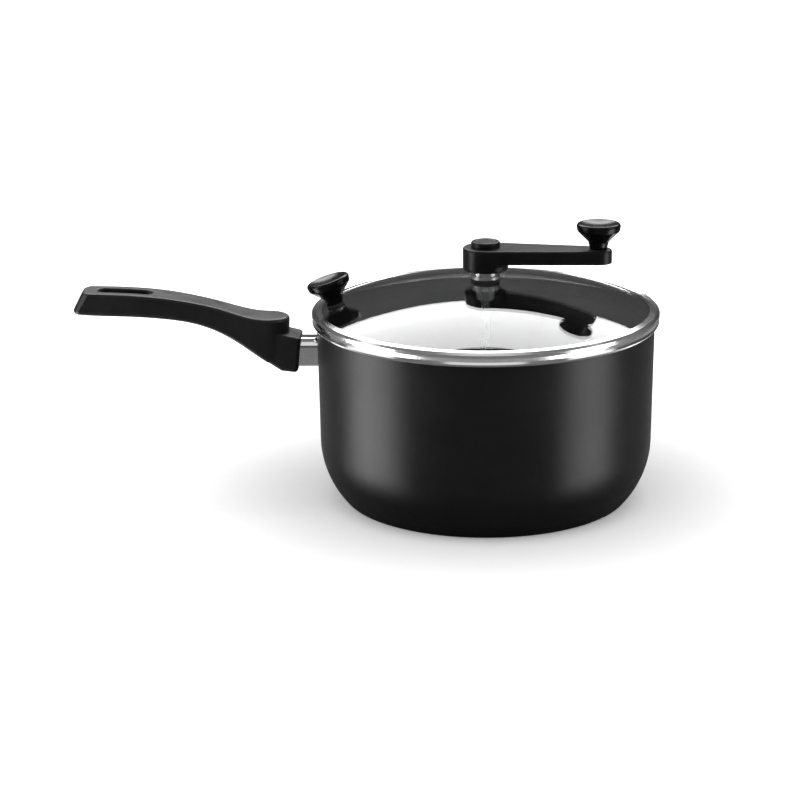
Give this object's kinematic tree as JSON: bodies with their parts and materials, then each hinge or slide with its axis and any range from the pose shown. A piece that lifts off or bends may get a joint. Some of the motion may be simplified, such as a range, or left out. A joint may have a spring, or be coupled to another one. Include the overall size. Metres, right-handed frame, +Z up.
{
  "type": "stovetop popcorn popper",
  "caption": "Deep black pot with a moulded side handle and a domed glass lid that carries a hand crank, whose shaft turns a wire stirrer over the pot's base.",
  "frame": {"origin": "centre of the pot's flat base, on the surface it stands on", "axes": "+Z up along the pot's and the crank shaft's axis, -X towards the handle, so the picture looks along +Y"},
  "size_m": [0.4248, 0.2518, 0.2055],
  "materials": {
    "pot_coating": "satin",
    "bare_aluminium": "satin",
    "polished_steel": "polished",
    "bright_steel": "satin",
    "brass": "satin",
    "handle_phenolic": "satin",
    "knob_phenolic": "satin",
    "crank_phenolic": "satin",
    "seal_rubber": "matte",
    "white_nylon": "satin",
    "lid_glass": "polished"
  },
  "bodies": {
    "pot": {"pot_body": "pot_coating", "weld_stud": "bare_aluminium", "flame_guard": "polished_steel", "handle": "handle_phenolic", "handle_screw": "bright_steel", "handle_spring_washer": "bright_steel"},
    "lid": {"lid_glass": "lid_glass", "lid_rim": "polished_steel", "lid_knob": "knob_phenolic", "lid_knob_insert": "brass", "lid_knob_gasket": "seal_rubber", "lid_knob_seal": "seal_rubber", "lid_knob_washer": "bright_steel", "lid_knob_screw": "bright_steel", "shaft_bush": "bare_aluminium", "bush_gasket": "seal_rubber", "bush_under_gasket": "seal_rubber", "bush_nut": "bright_steel", "thrust_washer": "white_nylon"},
    "crank": {"crank_shaft": "bright_steel", "shaft_clip": "bright_steel", "crank_arm": "crank_phenolic", "shaft_washer": "bright_steel", "shaft_nut": "bright_steel", "hub_cap": "crank_phenolic", "knob_spindle": "bright_steel", "spindle_insert": "brass", "stirrer_hub": "bare_aluminium", "stirrer_wire": "bright_steel", "stirrer_set_screw": "bright_steel"},
    "crank_knob": {"crank_knob": "knob_phenolic", "knob_cap": "knob_phenolic"}
  },
  "joints": [
    {"name": "lid_lift", "type": "slide", "parent": "pot", "child": "lid", "axis": [0, 0, 1], "range_m": [0, 0.26]},
    {"name": "crank_turn", "type": "hinge", "parent": "lid", "child": "crank", "pos_m": [0, 0, 0.1665], "axis": [0, 0, 1], "continuous": true},
    {"name": "knob_spin", "type": "hinge", "parent": "crank", "child": "crank_knob", "pos_m": [0.08089, -0.00708, 0.19], "axis": [0, 0, 1], "continuous": true}
  ]
}
